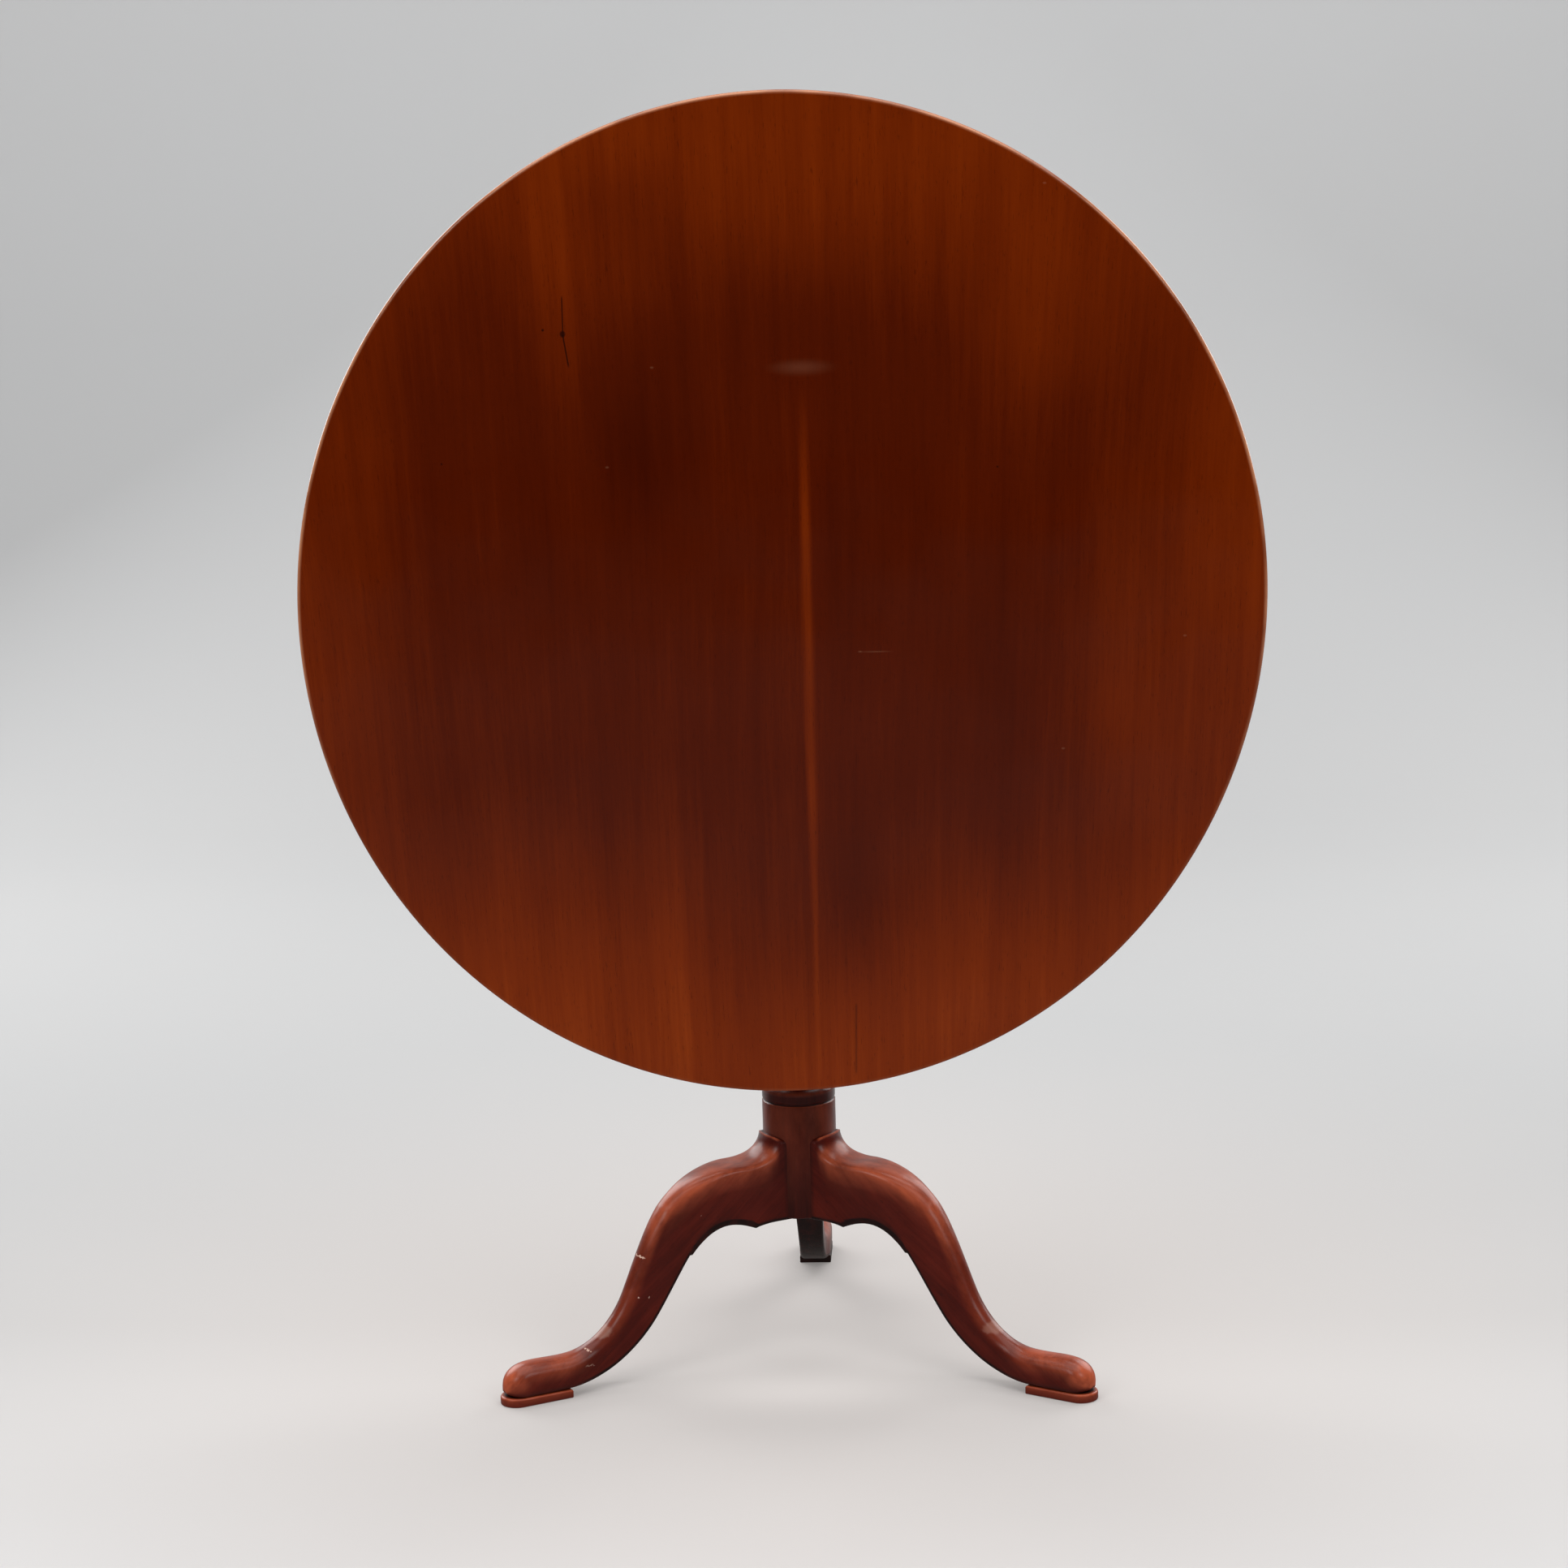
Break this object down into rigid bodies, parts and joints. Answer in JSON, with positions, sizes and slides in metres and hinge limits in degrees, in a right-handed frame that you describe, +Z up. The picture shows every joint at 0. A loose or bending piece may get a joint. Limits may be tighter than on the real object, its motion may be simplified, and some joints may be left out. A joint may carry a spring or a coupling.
{
  "type": "tilt top table",
  "caption": "Oval one-board table top that tilts up on a pivoting block, on a turned column with three cabriole legs and pad feet on thin shoes.",
  "frame": {"origin": "on the floor, centre of the whole object's box at rest: the column axis stands 78 mm in front of it (towards -Y)", "axes": "+Z up; -Y is the front, towards which the polished face of the tilted-up top looks; +Y points to the rear leg; +X is to the right seen from the front"},
  "size_m": [0.9068, 0.5018, 1.2366],
  "materials": {
    "top_mahogany": "french-polished mahogany, warm orange brown with darker red-brown clouding, satin to gloss",
    "base_mahogany": "polished dark red mahogany with worn orange patches on knees and toes",
    "underside_mahogany": "unpolished aged mahogany, matt",
    "brass": "old brass, dulled and rubbed bright on the knob and bolt nose",
    "steel": "dark oxidised steel"
  },
  "bodies": {
    "base": {"column": "base_mahogany", "column_wedge": "underside_mahogany", "leg_left": "base_mahogany", "leg_right": "base_mahogany", "leg_rear": "base_mahogany", "shoe_left": "base_mahogany", "shoe_right": "base_mahogany", "shoe_rear": "base_mahogany", "top_block": "underside_mahogany", "striker_plate": "brass", "striker_screw_1": "steel", "striker_screw_2": "steel"},
    "top": {"top_board": "top_mahogany", "bearer_left": "underside_mahogany", "bearer_right": "underside_mahogany", "bearer_screw_1": "steel", "bearer_screw_2": "steel", "bearer_screw_3": "steel", "bearer_screw_4": "steel", "bearer_screw_5": "steel", "bearer_screw_6": "steel", "bearer_screw_7": "steel", "bearer_screw_8": "steel", "catch_case": "brass", "catch_spring": "steel", "catch_screw_1": "steel", "catch_screw_2": "steel", "catch_screw_3": "steel", "catch_screw_4": "steel"},
    "catch_bolt": {"catch_bolt": "brass", "catch_knob": "brass"}
  },
  "joints": [
    {"name": "top_tilt", "type": "hinge", "parent": "base", "child": "top", "pos_m": [0, -0.15793, 0.686], "axis": [-1, 0, 0], "range_deg": [0, 90]},
    {"name": "catch_slide", "type": "slide", "parent": "top", "child": "catch_bolt", "axis": [0, 0, 1], "range_m": [0, 0.0085], "stiffness_N_per_m": 300, "springref_m": -0.006, "deforming": ["catch_spring"]}
  ]
}
